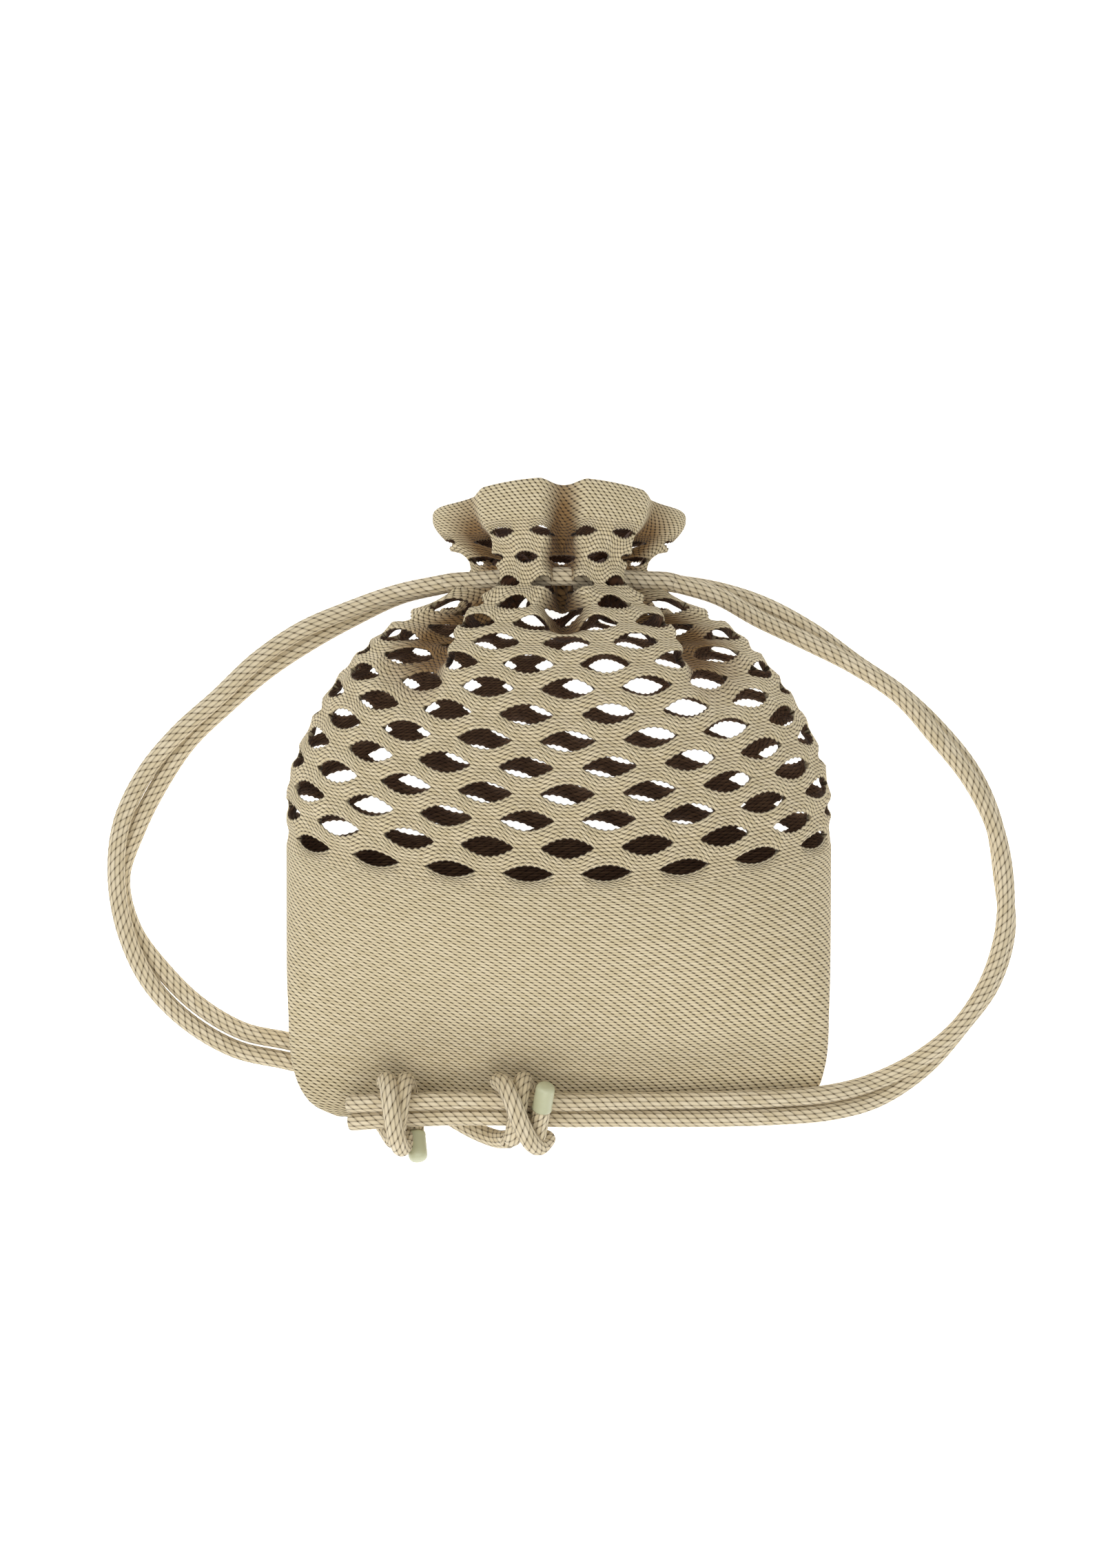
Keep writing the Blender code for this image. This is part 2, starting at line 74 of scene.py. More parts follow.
# Sections of the bag from its bottom edge to its rim, as in the frame's own knit. Each has its row,
# its half width as a share of half the bag's, where its front and side lie along the bag as shares
# of the length, the heights of its top, widest place and underside as shares of the depth, and how
# square its underside is
SECTIONS = (
    (-13.6, 0.830, -0.5000, -0.4920, 0.148, 0.120, 0.098, 2.5),
    (-13.1, 0.905, -0.4930, -0.4780, 0.160, 0.125, 0.093, 3.0),
    (-12.3, 0.960, -0.4740, -0.4530, 0.166, 0.135, 0.092, 3.5),
    (-11.2, 0.990, -0.4380, -0.4140, 0.182, 0.165, 0.092, 4.0),
    (-10.0, 0.999, -0.4020, -0.3750, 0.285, 0.220, 0.086, 4.0),
    (-8.60, 0.998, -0.3600, -0.3290, 0.440, 0.290, 0.036, 4.0),
    (-7.00, 1.000, -0.3090, -0.2720, 0.610, 0.330, 0.000, 4.0),
    (-4.80, 1.000, -0.2430, -0.1950, 0.800, 0.350, 0.000, 4.0),
    (-2.30, 1.000, -0.1710, -0.1110, 0.945, 0.357, 0.000, 4.0),
    (0.00, 1.000, -0.1030, -0.0373, 1.000, 0.357, 0.000, 4.0),
    (2.00, 0.995, -0.0229, 0.0403, 0.998, 0.357, 0.000, 4.0),
    (4.00, 0.930, 0.0568, 0.1186, 0.980, 0.350, 0.000, 4.0),
    (6.00, 0.835, 0.1369, 0.1886, 0.940, 0.345, 0.000, 3.7),
    (8.00, 0.720, 0.2150, 0.2480, 0.870, 0.335, 0.000, 3.4),
    (10.0, 0.580, 0.2800, 0.2960, 0.760, 0.325, 0.008, 3.0),
    (11.0, 0.475, 0.3100, 0.3200, 0.690, 0.320, 0.016, 2.7),
    (11.7, 0.375, 0.3330, 0.3390, 0.635, 0.318, 0.022, 2.5),
    (12.4, 0.330, 0.3570, 0.3600, 0.605, 0.316, 0.024, 2.4),
    (13.2, 0.360, 0.3900, 0.3850, 0.605, 0.314, 0.018, 2.4),
    (14.2, 0.425, 0.4300, 0.4100, 0.625, 0.314, 0.008, 2.4),
    (15.2, 0.465, 0.4650, 0.4320, 0.645, 0.318, 0.002, 2.4),
    (16.2, 0.470, 0.5022, 0.4500, 0.650, 0.320, 0.000, 2.4),
)
ROW, HALF_WIDTH, FRONT, SIDE, TOP, WIDEST, UNDER, SQUARE = range(8)
# Steps of a section's front and of its back, and how far the back would bulge if it weren't flat
ARC_STEPS = 360
BACK_BULGE = 1.06

# The gathers: column where a crease starts and where it meets the neck, the rows where it starts
# and is full, its depths at the neck and rim as shares of BAG_DEPTH, and its reach in columns
# towards the middle of the front and away from it
VALLEYS = (
    (0.0, 0.0, 9.0, 10.7, 0.205, 0.070, 0.55, 0.55),
    (1.85, 2.3, 5.2, 9.3, 0.215, 0.045, 0.48, 1.20),
    (-1.85, -2.3, 5.2, 9.3, 0.215, 0.045, 0.48, 1.20),
    (4.25, 4.25, 7.6, 11.2, 0.110, 0.020, 0.87, 0.87),
    (-4.25, -4.25, 7.6, 11.2, 0.110, 0.020, 0.87, 0.87),
    (6.18, 6.18, 8.6, 11.2, 0.165, 0.095, 0.87, 0.87),
    (-6.18, -6.18, 8.6, 11.2, 0.165, 0.095, 0.87, 0.87),
    (8.0, 8.0, 8.6, 11.2, 0.165, 0.095, 0.87, 0.87),
)
NECK_ROW = 12.4
RIM_ROW = 16.2
# How far a crease also draws the rim and the knit under the neck back along the bag, as shares of
# its depth, and the rows from which and to which it does so under the neck
RIM_DIP = 0.42
NECK_DIP = 0.35
NECK_DIP_ROWS = (8.0, 10.5, 11.6, 12.6)

# Where the knit covers the drawstring: its height above the cord's middle line, how slowly it falls
# away along the bag, and the columns beside the middle crease from which and to which it covers it
COVER_HEIGHT = CORD_DIAMETER / 2 + KNIT_WALL + 0.0008
COVER_SPREAD = 0.012
COVER_COLUMNS = (0.48, 0.70, 2.3, 3.3)

# Height of each row of gaps as a share of the row pitch, and its length as a share of a column
GAP_HEIGHTS = (0.66, 0.72, 0.74, 0.76, 0.76, 0.76, 0.76, 0.78, 0.80, 0.80, 0.78, 0.70, 0.50, 0.42, 0.36)
GAP_LENGTHS = (0.64, 0.66, 0.66, 0.66, 0.66, 0.66, 0.66, 0.67, 0.68, 0.70, 0.72, 0.72, 0.70, 0.66, 0.62)
GAP_ROUNDNESS = 1.9
# Notches between the stitches on a gap's edge: depth in rows, and half a notch's width in stitches
SCALLOP = 0.030
NOTCH_REACH = 0.1
# How far the knit's edges are rounded off, in metres, the share of it beside a gap's edge, how
# quickly it grows from a gap's ends, and its shares at the rim and just under it
EDGE_ROUNDING = 0.00115
EDGE_SHOULDER = 0.30
ROUNDED_OPENING = 3.5
RIM_ROUNDING = 0.8
RIM_SHOULDER = 0.25
# How far the net's crossings stand out, in metres, the rows between which they do, and how much
# more they do in the gathered neck
RIB_SWELL = 0.0015
RIB_ROWS = (-0.8, 0.4, 13.6, 14.6)
NECK_LUMPS = 0.8
NECK_LUMP_ROWS = (9.8, 11.2)
# Depth of a gather, as a share of BAG_DEPTH, where its painted shade starts, and how quickly it is
# full below and above the neck
CREASE_SHADE_START = 0.015
CREASE_SHADE_BELOW_NECK = 0.11
CREASE_SHADE_ABOVE_NECK = 0.07

# Rows of the mesh: the closed lower body, the shares of a web between two gap rows and the frill
BODY_ROWS = np.concatenate([[-13.6, -13.45, -13.3, -13.1], np.arange(-12.8, -0.9, 0.3)])
WEB_SHARES = (0.14, 0.5, 0.86)
FRILL_ROWS = (14.55, 14.8, 15.1, 15.4, 15.7, 15.95, 16.12, 16.2)
RIM_SHOULDER_ROW = 16.12
INNER_START = -12.3
# Points of the mesh to a column, and how many of its steps one face takes in the lower body
NET_SAMPLES = 36
BODY_STEP = 3
# The fine grid that the mesh is read from
GRID_ROWS = np.linspace(SECTIONS[0][ROW], RIM_ROW, 600)
GRID_STEP = 48
GRID_COLUMNS = np.arange(COLUMNS * GRID_STEP + 1) / GRID_STEP - COLUMNS / 2

# Cord routes, in metres and degrees: the middle of a pair of strands and how far it has turned.
# Where there is no height, the pair lies on the surface
RIGHT_PAIR = (
    (0.0413, 0.0822, 0.0220, 90),
    (0.0510, 0.0806, 0.0185, 95),
    (0.0610, 0.0780, 0.0130, 112),
    (0.0730, 0.0732, None, 138),
    (0.0872, 0.0665, None, 138),
    (0.1030, 0.0572, None, 112),
    (0.1188, 0.0471, None, 95),
    (0.1332, 0.0363, None, 105),
    (0.1447, 0.0226, None, 115),
    (0.1548, 0.0097, None, 110),
    (0.1613, -0.0033, None, 100),
    (0.1648, -0.0177, None, 92),
    (0.1666, -0.0321, None, 90),
    (0.1669, -0.0465, None, 105),
    (0.1630, -0.0623, None, 110),
    (0.1548, -0.0767, None, 96),
    (0.1433, -0.0897, None, 108),
    (0.1289, -0.1015, None, 138),
    (0.1145, -0.1080, 0.0080, 158),
    (0.0972, -0.1110, 0.0160, 160),
    (0.0771, -0.1122, 0.0180, 160),
    (0.0512, -0.1128, 0.0182, 160),
    (0.0260, -0.1128, 0.0195, 155),
    (0.0100, -0.1126, 0.0240, 150),
    (-0.0070, -0.1123, 0.0274, 148),
    (-0.0220, -0.1118, 0.0268, 148),
    (-0.0380, -0.1118, 0.0265, 148),
    (-0.0530, -0.1122, 0.0274, 148),
    (-0.0660, -0.1130, 0.0246, 152),
    (-0.0775, -0.1140, 0.0205, 158),
)
LEFT_PAIR = (
    (-0.0413, 0.0818, 0.0220, 90),
    (-0.0510, 0.0803, 0.0185, 90),
    (-0.0620, 0.0774, 0.0130, 97),
    (-0.0799, 0.0702, None, 115),
    (-0.0953, 0.0626, None, 132),
    (-0.1107, 0.0522, None, 130),
    (-0.1248, 0.0395, None, 120),
    (-0.1390, 0.0265, None, 125),
    (-0.1500, 0.0129, None, 148),
    (-0.1574, -0.0012, None, 155),
    (-0.1629, -0.0153, None, 122),
    (-0.1643, -0.0281, None, 97),
    (-0.1624, -0.0410, None, 97),
    (-0.1568, -0.0545, None, 122),
    (-0.1478, -0.0675, None, 155),
    (-0.1363, -0.0786, None, 180),
    (-0.1222, -0.0871, None, 180),
    (-0.1107, -0.0909, None, 180),
    (-0.1001, -0.0926, None, 180),
)
# How each left strand goes on to its knot
LEFT_ENDS = (
    (
        (-0.0900, -0.0992, 0.0037),
        (-0.0800, -0.1060, 0.0037),
        (-0.0710, -0.1135, 0.0037),
        (-0.0650, -0.1202, 0.0048),
        (-0.0622, -0.1240, 0.0105),
        (-0.0613, -0.1243, 0.0160),
        (-0.0610, -0.1238, 0.0207),
    ),
    (
        (-0.0900, -0.0920, 0.0037),
        (-0.0780, -0.0968, 0.0037),
        (-0.0660, -0.1030, 0.0037),
        (-0.0540, -0.1095, 0.0037),
        (-0.0430, -0.1155, 0.0037),
        (-0.0340, -0.1205, 0.0045),
        (-0.0268, -0.1238, 0.0085),
        (-0.0214, -0.1242, 0.0150),
        (-0.0184, -0.1236, 0.0214),
    ),
)
FRONT_DRAWSTRING = (
    (-0.0400, 0.0820, 0.0262),
    (-0.0330, 0.0824, 0.0284),
    (-0.0260, 0.0828, 0.0318),
    (-0.0190, 0.0830, 0.0360),
    (-0.0110, 0.0832, 0.0394),
    (0.0000, 0.0834, 0.0408),
    (0.0110, 0.0832, 0.0394),
    (0.0190, 0.0830, 0.0360),
    (0.0260, 0.0828, 0.0318),
    (0.0330, 0.0826, 0.0284),
    (0.0400, 0.0824, 0.0262),
)
BACK_DRAWSTRING = (
    (-0.0400, 0.0820, 0.0188),
    (-0.0330, 0.0824, 0.0198),
    (-0.0260, 0.0828, 0.0178),
    (-0.0190, 0.0830, 0.0136),
    (-0.0110, 0.0832, 0.0112),
    (0.0000, 0.0834, 0.0106),
    (0.0110, 0.0832, 0.0112),
    (0.0190, 0.0830, 0.0136),
    (0.0260, 0.0828, 0.0178),
    (0.0330, 0.0826, 0.0198),
    (0.0400, 0.0824, 0.0188),
)
CORD_POINT_SPACING = 3.0 * CORD_DIAMETER
CLOSE_POINT_SPACING = 1.6 * CORD_DIAMETER

# A strand wound round the right pair: start x, end x, start angle, end angle and how far its middle
# stands up, as a share of the cord's diameter. Each knot has a second turn that crosses over it
KNOTS = (
    (-0.0175, -0.0062, 200, -275, 0.0),
    (-0.0608, -0.0530, 200, -145, 0.0),
)
KNOT_TURNS = (
    (-0.0225, -0.0040, 20, 200, 0.95),
    (-0.0640, -0.0562, 5, 205, 0.95),
)
# Degrees from one point of a winding to the next, and where the pair's run along the bag starts
KNOT_STEP = 30
KNOT_RUN_Y = -0.104

# The cord's own knit: length of a stitch along it, stitches round it, and their shift in a turn
CORD_STITCH = 0.0036
CORD_STITCHES_ROUND = 12
CORD_LEAN = 0.5
# Its mesh, how far it swells between its courses, and how far a cut end is drawn in
CORD_SIDES = 20
CORD_RING_SPACING = 0.0011
CORD_SWELL = 0.012
CUT_END_SIZE = 0.93

# A tip's outline from its mouth to its end, as shares of its length and diameter
AGLET_OUTLINE = (
    (0.00, 0.455),
    (0.01, 0.490),
    (0.06, 0.500),
    (0.12, 0.482),
    (0.60, 0.478),
    (0.82, 0.470),
    (0.90, 0.440),
    (0.96, 0.370),
    (0.99, 0.240),
    (1.00, 0.0),
)
AGLET_SIDES = 40

CAMERA_PLACE = (0.0003, 0.0077, 1.390)
CAMERA_LENS = 85
CAMERA_SENSOR = 36
FLOOR_REACH = 3.0

# A line of points round the bag: its row, its gap row if it is a gap's edge, its side (-1 lower, 1
# upper, 0 in plain knit), its share of the web above a gap row, and its stitch row
Line = namedtuple("Line", "row gap side share stitch")
# A line on one face of the knit: its first vertex in the mesh, and the row of each point
Ring = namedtuple("Ring", "start line rows")


def colour(code):
    """An sRGB hex colour as linear values."""
    values = [int(code[i:i + 2], 16) / 255 for i in (1, 3, 5)]
    return [v / 12.92 if v <= 0.04045 else ((v + 0.055) / 1.055) ** 2.4 for v in values] + [1.0]


def smooth_curve(keys, values, at):
    """Values at the places asked for, on a smooth curve through the keyed ones."""
    keys = np.asarray(keys, float)
    values = np.asarray(values, float)
    slopes = np.gradient(values, keys)
    at = np.clip(at, keys[0], keys[-1])
    i = np.clip(np.searchsorted(keys, at) - 1, 0, len(keys) - 2)
    step = keys[i + 1] - keys[i]
    t = (at - keys[i]) / step
    return ((2 * t**3 - 3 * t**2 + 1) * values[i] + (t**3 - 2 * t**2 + t) * step * slopes[i]
            + (3 * t**2 - 2 * t**3) * values[i + 1] + (t**3 - t**2) * step * slopes[i + 1])


def smooth_step(t):
    """0 to 1 with level ends."""
    t = np.clip(t, 0.0, 1.0)
    return t * t * (3 - 2 * t)


def rise_and_fall(at, start, full, fading, end):
    """0 to 1 and back to 0 with level ends."""
    return smooth_step((at - start) / (full - start)) * smooth_step((end - at) / (end - fading))


def section_value(name, row):
    """One measure of the sections, read at any row."""
    return smooth_curve([s[ROW] for s in SECTIONS], [s[name] for s in SECTIONS], row)


def distances(points):
    """How far along a line of points each one lies."""
    steps = np.linalg.norm(np.diff(points[:, :3], axis=0), axis=1)
    return np.concatenate([[0], np.cumsum(steps)])


def resample(points, spacing):
    """Evenly spaced points on a smooth curve through the given ones, with their twist if any."""
    points = np.asarray(points, float)
    chords = distances(points)
    fine = np.linspace(0, chords[-1], 40 * len(points))
    curve = np.stack([smooth_curve(chords, column, fine) for column in points.T], axis=1)
    length = distances(curve)
    count = max(2, int(round(length[-1] / spacing)) + 1)
    at = np.linspace(0, length[-1], count)
    return np.stack([np.interp(at, length, column) for column in curve.T], axis=1)


def pair_strands(route):
    """The routes of the two strands of a pair, point beside point."""
    half = (CORD_DIAMETER + 2 * CLEARANCE) / 2
    keyed = []
    for x, y, z, twist in route:
        low = CORD_DIAMETER / 2 + CLEARANCE + half * abs(math.sin(math.radians(twist)))
        keyed.append((x, y, low if z is None else z, twist))
    middle = resample(keyed, CORD_POINT_SPACING)
    ways = np.gradient(middle[:, :2], axis=0)
    ways = ways / np.linalg.norm(ways, axis=1, keepdims=True)
    strands = ([], [])
    for (x, y, z, twist), way in zip(middle, ways):
        rise = half * math.sin(math.radians(twist))
        shift = half * math.cos(math.radians(twist))
        height = max(z, CORD_DIAMETER / 2 + CLEARANCE + abs(rise))
        for sign, strand in zip((1, -1), strands):
            strand.append((x - sign * shift * way[1], y + sign * shift * way[0],
                           height + sign * rise))
    return strands


def knot_path(knot, strands):
    """The middle line of a strand wound round the two strands of the right pair."""
    start_x, end_x, start_angle, end_angle, hump = knot
    runs = [np.array(strand)[::-1] for strand in strands]
    runs = [run[run[:, 1] < KNOT_RUN_Y] for run in runs]
    count = int(abs(end_angle - start_angle) / KNOT_STEP) + 1
    points = []
    for share in np.linspace(0, 1, count):
        x = start_x + share * (end_x - start_x)
        first, second = [np.array([np.interp(x, run[:, 0], run[:, k]) for k in (1, 2)])
                         for run in runs]
        angle = math.radians(start_angle + share * (end_angle - start_angle))
        way = np.array([math.cos(angle), math.sin(angle)])
        reach = CORD_DIAMETER + 3 * CLEARANCE + abs(np.dot(first - second, way)) / 2
        reach += CORD_DIAMETER * hump * math.sin(math.pi * share)
        y, z = (first + second) / 2 + reach * way
        points.append((x, y, z))
    return points


def add_node(tree, kind, inputs=(), output=0, **settings):
    """Adds a shader node and gives one of its outputs. Each input is a value or another output."""
    node = tree.nodes.new(kind)
    for name, value in settings.items():
        setattr(node, name, value)
    for key, value in dict(inputs).items():
        if isinstance(value, bpy.types.NodeSocket):
            tree.links.new(value, node.inputs[key])
        else:
            node.inputs[key].default_value = value
    return node.outputs[output]


MATH = "ShaderNodeMath"
MIX = "ShaderNodeMix"
NOISE = "ShaderNodeTexNoise"
RANGE = "ShaderNodeMapRange"
# Inputs and output of a Mix node that are for colours
FACTOR, FIRST, SECOND = 0, 6, 7
MIXED = 2


def make_knit_material(name, light, mid, dark, painted_crease_shading, joints, bump, sheen):
    """Knitted cotton. The stitches follow the knit's own columns and rows from the map.

    joints: how dark a stitch's ends, its long sides and its corners are.
    """
    material = bpy.data.materials.new(name)
    material.use_nodes = True
    tree = material.node_tree
    shader = tree.nodes["Principled BSDF"]
    shader.inputs["Roughness"].default_value = 0.88
    shader.inputs["Specular IOR Level"].default_value = 0.25
    shader.inputs["Sheen Weight"].default_value = sheen
    shader.inputs["Sheen Roughness"].default_value = 0.5

    # How near a place is to its stitch's ends and long sides: 0 in its middle and 1 at its edge
    stitches = add_node(tree, "ShaderNodeUVMap", uv_map="stitches")
    across = add_node(tree, "ShaderNodeSeparateXYZ", {"Vector": stitches})
    along = across.node.outputs["Y"]
    edges = []
    cells = []
    for place in (across, along):
        share = add_node(tree, MATH, {0: place}, operation="FRACT")
        share = add_node(tree, MATH, {0: share, 1: 2.0, 2: -1.0}, operation="MULTIPLY_ADD")
        edges.append(add_node(tree, MATH, {0: share}, operation="ABSOLUTE"))
        cells.append(add_node(tree, MATH, {0: place}, operation="FLOOR"))
    end, side = edges
    sharp = {}
    for key, edge, power in (("end", end, 5.0), ("side", side, 4.0),
                             ("end of corner", end, 3.5), ("side of corner", side, 2.2),
                             ("end of swell", end, 4.0), ("side of swell", side, 2.5)):
        sharp[key] = add_node(tree, MATH, {0: edge, 1: power}, operation="POWER")
    corner = add_node(tree, MATH, {0: sharp["end of corner"], 1: sharp["side of corner"]},
                      operation="MULTIPLY")
    shade = 0.0
    for place, depth in zip((sharp["end"], sharp["side"], corner), joints):
        shade = add_node(tree, MATH, {0: place, 1: depth, 2: shade}, operation="MULTIPLY_ADD",
                         use_clamp=True)

    # One stitch is a little lighter or darker than the next
    cell = add_node(tree, "ShaderNodeCombineXYZ", {"X": cells[0], "Y": cells[1]})
    chance = add_node(tree, "ShaderNodeTexWhiteNoise", {"Vector": cell})
    base = add_node(tree, MIX, {FACTOR: chance, FIRST: light, SECOND: mid}, MIXED, data_type="RGBA")

    # Slow changes of tone over about 40 mm
    spot = add_node(tree, "ShaderNodeTexCoord", output="Object")
    cloud = add_node(tree, NOISE, {"Vector": spot, "Scale": 1 / 0.040, "Detail": 2.0,
                                   "Roughness": 0.5})
    drift = add_node(tree, RANGE, {"Value": cloud, "From Min": 0.3, "From Max": 0.7,
                                   "To Min": 0.0, "To Max": 0.35})
    base = add_node(tree, MIX, {FACTOR: drift, FIRST: base, SECOND: mid}, MIXED, data_type="RGBA")
    base = add_node(tree, MIX, {FACTOR: shade, FIRST: base, SECOND: dark}, MIXED, data_type="RGBA")

    # Painted shade: the deeper the knit lies in a gather's crease, the more it is multiplied towards
    # brown. Part of that brown is the dark inner yarn that shows between the stretched stitches there
    fold = add_node(tree, "ShaderNodeAttribute", output="Fac", attribute_name="fold")
    base = add_node(tree, MIX, {FACTOR: fold, FIRST: base, SECOND: painted_crease_shading}, MIXED, data_type="RGBA",
                    blend_type="MULTIPLY")
    tree.links.new(base, shader.inputs["Base Color"])

    # Stitches stand up. Real yarn fibres are finer than the 0.35 mm drawn here, which still shows
    fibre = add_node(tree, NOISE, {"Vector": spot, "Scale": 1 / 0.00035, "Detail": 1.0,
                                   "Roughness": 0.6})
    swells = [add_node(tree, MATH, {0: 1.0, 1: sharp[key]}, operation="SUBTRACT")
              for key in ("end of swell", "side of swell")]
    swell = add_node(tree, MATH, {0: swells[0], 1: swells[1]}, operation="MULTIPLY")
    height = add_node(tree, MATH, {0: fibre, 1: 0.18, 2: swell}, operation="MULTIPLY_ADD")
    relief = add_node(tree, "ShaderNodeBump", {"Height": height, "Strength": 0.8, "Distance": bump})
    tree.links.new(relief, shader.inputs["Normal"])
    return material


def make_plastic_material(name, base, worn):
    """Smooth moulded plastic with a satin skin and slight clouding."""
    material = bpy.data.materials.new(name)
    material.use_nodes = True
    tree = material.node_tree
    shader = tree.nodes["Principled BSDF"]
    shader.inputs["Specular IOR Level"].default_value = 0.5
    shader.inputs["Coat Weight"].default_value = 0.15
    shader.inputs["Coat Roughness"].default_value = 0.3
    # Clouding over about 4 mm
    spot = add_node(tree, "ShaderNodeTexCoord", output="Object")
    cloud = add_node(tree, NOISE, {"Vector": spot, "Scale": 1 / 0.004, "Detail": 3.0})
    mixed = add_node(tree, MIX, {FACTOR: cloud, FIRST: base, SECOND: worn}, MIXED, data_type="RGBA")
    tree.links.new(mixed, shader.inputs["Base Color"])
    rough = add_node(tree, RANGE, {"Value": cloud, "To Min": 0.3, "To Max": 0.42})
    tree.links.new(rough, shader.inputs["Roughness"])
    # A moulded skin's grain, about 0.8 mm
    grain = add_node(tree, NOISE, {"Vector": spot, "Scale": 1 / 0.0008, "Detail": 2.0})
    relief = add_node(tree, "ShaderNodeBump", {"Height": grain, "Strength": 0.2,
                                               "Distance": 0.00005})
    tree.links.new(relief, shader.inputs["Normal"])
    return material


# The fourth colour of each knit is the painted shade multiplied in deep in the gathers' creases
# Light cream cotton: the plain outer face, with a dark fleck at each stitch's corners
cream_knit = make_knit_material("cream_cotton_knit", colour("#E5D6B4"), colour("#D6C6A1"),
                                colour("#3E2E18"), colour("#A58C70"), (0.35, 0.18, 2.6),
                                bump=0.00035, sheen=0.10)
# The same cotton in the net: each stitch is a small oval outlined in brown
net_knit = make_knit_material("cream_cotton_net", colour("#EADAB8"), colour("#D9C8A2"),
                              colour("#3E2E18"), colour("#A58C70"), (0.50, 0.60, 1.2),
                              bump=0.00040, sheen=0.10)
# Dark brown cotton: the inner face, seen through the gaps
brown_knit = make_knit_material("brown_cotton_knit", colour("#86684E"), colour("#674D3A"),
                                colour("#2A1D15"), colour("#B09A88"), (0.40, 0.40, 0.8),
                                bump=0.00035, sheen=0.05)
# Cream cotton cord with longer scale-like stitches
cream_cord = make_knit_material("cream_cotton_cord", colour("#E9DBBE"), colour("#D8C8A6"),
                                colour("#46351E"), colour("#A58C70"), (0.42, 0.45, 0.8),
                                bump=0.00040, sheen=0.10)
# Pale sage moulded plastic: the tips, smooth with a soft shine
sage_plastic = make_plastic_material("sage_plastic", colour("#C6C7A6"), colour("#B9BA98"))


def corner_vertices(mesh):
    """The vertex at each corner of the mesh's faces."""
    corners = np.empty(len(mesh.loops), dtype=np.int32)
    mesh.loops.foreach_get("vertex_index", corners)
    return corners


def set_looks(mesh, places, painted_crease_shading):
    """Stores what the knit materials read: each face corner's stitch place, and each vertex's painted
    crease shade, from how deep in a fold it lies."""
    layer = mesh.uv_layers.new(name="stitches")
    layer.data.foreach_set("uv", np.asarray(places, np.float32).ravel())
    shades = mesh.attributes.new("fold", "FLOAT", "POINT")
    shades.data.foreach_set("value", np.asarray(painted_crease_shading, np.float32))


def new_piece(name, vertices, faces, materials):
    """A smooth mesh piece."""
    mesh = bpy.data.meshes.new(name)
    mesh.from_pydata([tuple(v) for v in vertices], [], faces)
    for material in materials:
        mesh.materials.append(material)
    mesh.shade_smooth()
    piece = bpy.data.objects.new(name, mesh)
    bpy.context.scene.collection.objects.link(piece)
    return piece


def make_cord(name, path, cut=(True, True)):
    """A knitted cord, a tube of even stitches along its path, and its middle line."""
    line = resample(path, CORD_RING_SPACING)[:, :3]
    ways = np.gradient(line, axis=0)
    ways /= np.linalg.norm(ways, axis=1, keepdims=True)
    side = np.cross(ways[0], (0.0, 0.0, 1.0))
    if np.linalg.norm(side) < 0.2:
        side = np.cross(ways[0], (0.0, 1.0, 0.0))
    sides = []
    for way in ways:
        side = side - way * np.dot(side, way)
        side = side / np.linalg.norm(side)
        sides.append(side)
    sides = np.array(sides)
    ups = np.cross(sides, ways)
    along = distances(line)
    size = CORD_DIAMETER / 2 * (1 + CORD_SWELL * np.sin(along / CORD_STITCH * 4 * math.pi))
    size[[0, -1]] *= np.where(cut, CUT_END_SIZE, 1.0)
    wide = CORD_SIDES + 1
    turn = np.linspace(0, 2 * math.pi, wide)
    rings = (line[:, None] + size[:, None, None]
             * (np.cos(turn)[None, :, None] * sides[:, None]
                + np.sin(turn)[None, :, None] * ups[:, None]))
    vertices = np.concatenate([rings.reshape(-1, 3), line[[0, -1]]])
    around = turn / (2 * math.pi) * CORD_STITCHES_ROUND
    places = np.stack(np.broadcast_arrays(
        (along / CORD_STITCH)[:, None] + CORD_LEAN * around[None], around[None]),
        axis=-1).reshape(-1, 2)
    places = np.concatenate([places, [(at / CORD_STITCH, 0.5) for at in along[[0, -1]]]])
    last = (len(line) - 1) * wide
    faces = []
    for start in range(0, last, wide):
        for a in range(start, start + CORD_SIDES):
            faces.append((a, a + 1, a + wide + 1, a + wide))
    faces += [(a, last + wide, a + 1) for a in range(CORD_SIDES)]
    faces += [(a, a + 1, last + wide + 1) for a in range(last, last + CORD_SIDES)]
    piece = new_piece(name, vertices, faces, [cream_cord])
    set_looks(piece.data, places[corner_vertices(piece.data)], np.zeros(len(vertices)))
    return piece, line


def make_aglet(name, path):
    """A satin plastic tip, slightly flared at its mouth and rounded at its end."""
    way = (Vector(path[-1]) - Vector(path[-2])).normalized()
    turned = way.to_track_quat("Z", "Y")
    start = Vector(path[-1]) + way * CLEARANCE
    vertices = []
    for along, share in AGLET_OUTLINE:
        for angle in np.arange(AGLET_SIDES) * 2 * math.pi / AGLET_SIDES:
            spot = Vector((math.cos(angle) * share * AGLET_DIAMETER,
                           math.sin(angle) * share * AGLET_DIAMETER, along * AGLET_LENGTH))
            vertices.append(start + turned @ spot)
    faces = []
    for low in range(0, (len(AGLET_OUTLINE) - 1) * AGLET_SIDES, AGLET_SIDES):
        high = low + AGLET_SIDES
        for j in range(AGLET_SIDES):
            k = (j + 1) % AGLET_SIDES
            faces.append((low + j, low + k, high + k, high + j))
    faces.append(tuple(range(AGLET_SIDES))[::-1])
    return new_piece(name, vertices, faces, [sage_plastic])


